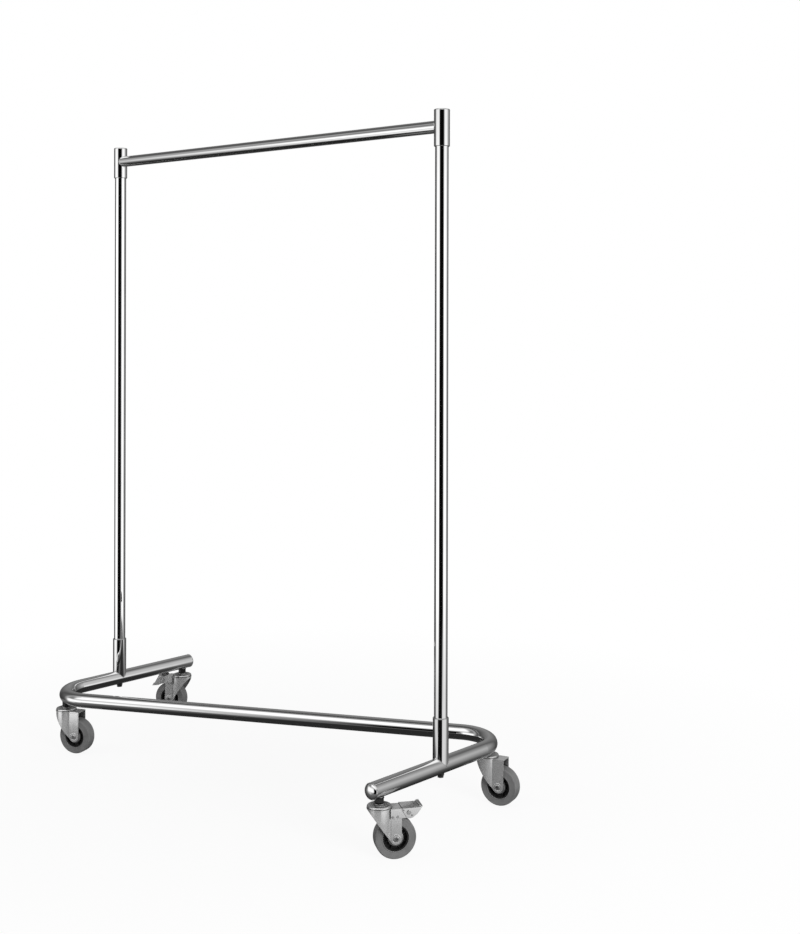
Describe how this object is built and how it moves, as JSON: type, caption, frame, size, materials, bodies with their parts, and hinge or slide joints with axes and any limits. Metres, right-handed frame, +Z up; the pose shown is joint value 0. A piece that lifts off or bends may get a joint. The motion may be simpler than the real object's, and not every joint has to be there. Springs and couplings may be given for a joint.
{
  "type": "rolling clothes rack",
  "caption": "Chrome nesting garment rack: Z-shaped bent base tube on swivel casters, socketed uprights and one hanging rail between head sleeves",
  "frame": {"origin": "on the floor, midway between the two uprights", "axes": "+X along the hanging rail to the right, +Y to the back, +Z up"},
  "size_m": [1.3723, 0.5173, 1.69],
  "materials": {
    "chrome_tube": "bright polished chrome plate on the bent base tube",
    "chrome_cap": "bright chrome dome with a faint seam",
    "chrome_socket": "bright chrome plate",
    "chrome_upright": "bright chrome plate, drawn tube",
    "chrome_sleeve": "bright chrome plate",
    "chrome_head_cap": "bright chrome cap",
    "chrome_rail": "bright chrome rail, lightly scuffed along its top by hangers",
    "zinc_fork": "bright zinc plate on pressed steel",
    "zinc_cover": "bright zinc plate",
    "zinc_housing": "bright zinc plate on pressed steel",
    "zinc_pedal": "bright zinc plate, worn at the toe",
    "zinc_stem": "zinc plated stem and rivet head",
    "zinc_bolt": "zinc plated fastener",
    "zinc_steel": "zinc plated turned steel, out of sight",
    "ball_steel": "polished bearing balls",
    "spring_steel": "blued spring steel",
    "cam_steel": "plain steel cam",
    "black_fastener": "black oxide",
    "grey_tyre": "smooth grey thermoplastic rubber tread",
    "black_hub": "black moulded nylon"
  },
  "bodies": {
    "rack": {"base_tube": "chrome_tube", "front_end_cap": "chrome_cap", "rear_end_cap": "chrome_cap", "left_socket": "chrome_socket", "right_socket": "chrome_socket", "left_upright": "chrome_upright", "right_upright": "chrome_upright", "upright_plugs": "zinc_steel", "upright_bolts": "black_fastener", "upright_washers": "black_fastener", "left_head_sleeve": "chrome_sleeve", "right_head_sleeve": "chrome_sleeve", "left_head_cap": "chrome_head_cap", "right_head_cap": "chrome_head_cap", "hanging_rail": "chrome_rail", "caster_inserts": "zinc_steel", "caster_locknuts": "black_fastener", "caster_stems": "zinc_stem", "swivel_head_covers": "zinc_cover"},
    "front_right_caster": {"front_right_fork": "zinc_fork", "front_right_swivel_balls": "ball_steel", "front_right_bush": "zinc_steel", "front_right_axle_bolt": "zinc_bolt", "front_right_axle_nut": "zinc_bolt", "front_right_brake_housing": "zinc_housing", "front_right_brake_pin": "zinc_bolt", "front_right_brake_spring": "spring_steel", "front_right_brake_rivets": "zinc_bolt"},
    "front_right_wheel": {"front_right_tyre": "grey_tyre", "front_right_hub": "black_hub"},
    "front_right_brake": {"front_right_brake_pedal": "zinc_pedal", "front_right_brake_cam": "cam_steel"},
    "rear_left_caster": {"rear_left_fork": "zinc_fork", "rear_left_swivel_balls": "ball_steel", "rear_left_bush": "zinc_steel", "rear_left_axle_bolt": "zinc_bolt", "rear_left_axle_nut": "zinc_bolt", "rear_left_brake_housing": "zinc_housing", "rear_left_brake_pin": "zinc_bolt", "rear_left_brake_spring": "spring_steel", "rear_left_brake_rivets": "zinc_bolt"},
    "rear_left_wheel": {"rear_left_tyre": "grey_tyre", "rear_left_hub": "black_hub"},
    "rear_left_brake": {"rear_left_brake_pedal": "zinc_pedal", "rear_left_brake_cam": "cam_steel"},
    "front_left_caster": {"front_left_fork": "zinc_fork", "front_left_swivel_balls": "ball_steel", "front_left_bush": "zinc_steel", "front_left_axle_bolt": "zinc_bolt", "front_left_axle_nut": "zinc_bolt"},
    "front_left_wheel": {"front_left_tyre": "grey_tyre", "front_left_hub": "black_hub"},
    "rear_right_caster": {"rear_right_fork": "zinc_fork", "rear_right_swivel_balls": "ball_steel", "rear_right_bush": "zinc_steel", "rear_right_axle_bolt": "zinc_bolt", "rear_right_axle_nut": "zinc_bolt"},
    "rear_right_wheel": {"rear_right_tyre": "grey_tyre", "rear_right_hub": "black_hub"}
  },
  "joints": [
    {"name": "front_right_swivel", "type": "hinge", "parent": "rack", "child": "front_right_caster", "pos_m": [0.604, -0.2144, 0.1165], "axis": [0, 0, 1], "continuous": true},
    {"name": "front_right_roll", "type": "hinge", "parent": "front_right_caster", "child": "front_right_wheel", "pos_m": [0.62457, -0.18608, 0.047], "axis": [-0.809, 0.5878, 0], "continuous": true},
    {"name": "front_right_brake_toggle", "type": "hinge", "parent": "front_right_caster", "child": "front_right_brake", "pos_m": [0.64091, -0.16359, 0.1055], "axis": [-0.809, 0.5878, 0], "range_deg": [0, 60]},
    {"name": "rear_left_swivel", "type": "hinge", "parent": "rack", "child": "rear_left_caster", "pos_m": [-0.604, 0.2344, 0.1165], "axis": [0, 0, 1], "continuous": true},
    {"name": "rear_left_roll", "type": "hinge", "parent": "rear_left_caster", "child": "rear_left_wheel", "pos_m": [-0.63622, 0.22072, 0.047], "axis": [0.3907, -0.9205, 0], "continuous": true},
    {"name": "rear_left_brake_toggle", "type": "hinge", "parent": "rear_left_caster", "child": "rear_left_brake", "pos_m": [-0.66181, 0.20986, 0.1055], "axis": [0.3907, -0.9205, 0], "range_deg": [-60, 0]},
    {"name": "front_left_swivel", "type": "hinge", "parent": "rack", "child": "front_left_caster", "pos_m": [-0.56186, -0.21427, 0.1165], "axis": [0, 0, 1], "continuous": true},
    {"name": "front_left_roll", "type": "hinge", "parent": "front_left_caster", "child": "front_left_wheel", "pos_m": [-0.52918, -0.20173, 0.047], "axis": [-0.3584, 0.9336, 0], "continuous": true},
    {"name": "rear_right_swivel", "type": "hinge", "parent": "rack", "child": "rear_right_caster", "pos_m": [0.56186, 0.23428, 0.1165], "axis": [0, 0, 1], "continuous": true},
    {"name": "rear_right_roll", "type": "hinge", "parent": "rear_right_caster", "child": "rear_right_wheel", "pos_m": [0.59582, 0.24274, 0.047], "axis": [-0.2419, 0.9703, 0], "continuous": true}
  ]
}
